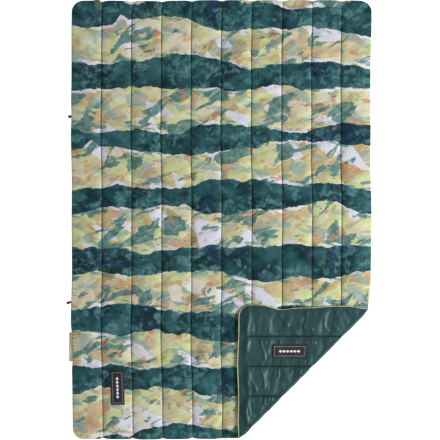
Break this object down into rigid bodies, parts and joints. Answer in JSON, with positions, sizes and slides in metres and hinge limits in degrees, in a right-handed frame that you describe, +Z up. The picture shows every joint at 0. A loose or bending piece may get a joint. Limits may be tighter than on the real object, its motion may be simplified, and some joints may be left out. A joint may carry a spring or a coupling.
{
  "type": "camp blanket",
  "caption": "Rectangular quilted camp blanket lying flat, with a printed face, a plain lining, piped edges, sewn loops and one corner that folds over on a diagonal.",
  "frame": {"origin": "centre of the underside of the whole object's box, loops included, on the surface it lies on", "axes": "+Z up, +Y along the quilted channels towards the hang loop, +X across the channels towards the side whose lower corner is folded over"},
  "size_m": [1.3061, 1.9178, 0.0338],
  "materials": {
    "printed_face": "printed ripstop polyester, satin, alternating dark teal and pale bands",
    "lining": "dark green taffeta, soft sheen",
    "insulation": "white fibre filling, matt",
    "thread": "dark green sewing thread",
    "piping": "pale lime woven piping",
    "woven_label": "black damask-woven label with a grey frame line",
    "label_thread": "black sewing thread",
    "hang_tape": "olive grey-green herringbone tape",
    "black_tape": "black grosgrain tape",
    "care_tape": "cream satin tape"
  },
  "bodies": {
    "main": {"face_shell": "printed_face", "lining_shell": "lining", "channel_fill_01": "insulation", "channel_fill_02": "insulation", "channel_fill_03": "insulation", "channel_fill_04": "insulation", "channel_fill_05": "insulation", "channel_fill_06": "insulation", "channel_fill_07": "insulation", "channel_fill_08": "insulation", "channel_fill_09": "insulation", "channel_fill_10": "insulation", "quilting_thread": "thread", "edge_piping": "piping", "lining_shell_fold": "lining", "insulation_fold": "insulation", "face_shell_fold": "printed_face", "edge_piping_fold": "piping", "face_label": "woven_label", "face_label_thread": "label_thread"},
    "corner": {"face_shell_corner": "printed_face", "lining_shell_corner": "lining", "channel_fill_06_corner": "insulation", "channel_fill_07_corner": "insulation", "channel_fill_08_corner": "insulation", "channel_fill_09_corner": "insulation", "channel_fill_10_corner": "insulation", "quilting_thread_corner": "thread", "edge_piping_corner": "piping", "lining_label": "woven_label", "lining_label_thread": "label_thread", "tonal_patches": "lining"},
    "hang_loop": {"hang_loop": "hang_tape"},
    "side_loop_upper": {"side_loop_upper": "black_tape"},
    "side_loop_lower": {"side_loop_lower": "black_tape"},
    "care_label": {"care_label": "care_tape"}
  },
  "joints": [
    {"name": "corner_fold", "type": "hinge", "parent": "main", "child": "corner", "pos_m": [0.36534, -0.67109, 0.0163], "axis": [0.7071, 0.7071, 0], "range_deg": [0, 179.8], "deforming": ["lining_shell_fold", "insulation_fold", "face_shell_fold", "edge_piping_fold"]},
    {"name": "hang_loop_swing", "type": "hinge", "parent": "main", "child": "hang_loop", "pos_m": [-0.52166, 0.92571, 0.004], "axis": [1, 0, 0], "range_deg": [-90, 90]},
    {"name": "side_loop_upper_swing", "type": "hinge", "parent": "main", "child": "side_loop_upper", "pos_m": [-0.63146, 0.42591, 0.004], "axis": [0, 1, 0], "range_deg": [-90, 90]},
    {"name": "side_loop_lower_swing", "type": "hinge", "parent": "main", "child": "side_loop_lower", "pos_m": [-0.63298, -0.36809, 0.004], "axis": [0, 1, 0], "range_deg": [-90, 90]},
    {"name": "care_label_swing", "type": "hinge", "parent": "main", "child": "care_label", "pos_m": [-0.63026, -0.56009, 0.004], "axis": [0, 1, 0], "range_deg": [-90, 90]}
  ]
}
